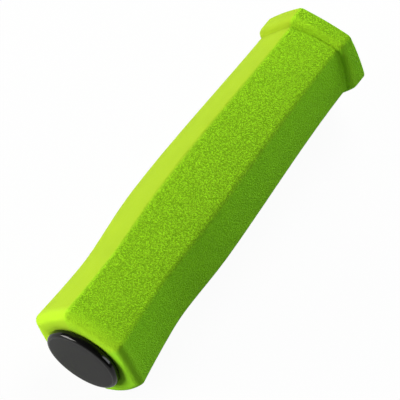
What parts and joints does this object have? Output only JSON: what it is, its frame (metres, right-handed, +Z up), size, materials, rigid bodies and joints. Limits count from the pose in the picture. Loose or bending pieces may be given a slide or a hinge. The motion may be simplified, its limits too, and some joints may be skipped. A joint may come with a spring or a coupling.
{
  "type": "foam handlebar grip",
  "caption": "Hexagonal foam handlebar grip with a waist, a flange at its inner end and a push-in plug in its outer end.",
  "frame": {"origin": "centre of the bounding box in X and Y, on the surface that the grip lies on", "axes": "+X along the grip from the plugged end to the flange, +Z up, away from the side that it lies on"},
  "size_m": [0.1328, 0.0394, 0.0332],
  "materials": {
    "foam": "fine-celled closed foam, matt",
    "plug": "moulded, satin face and glossy rim"
  },
  "bodies": {
    "root": {"foam_sleeve": "foam", "end_plug": "plug"}
  },
  "joints": []
}
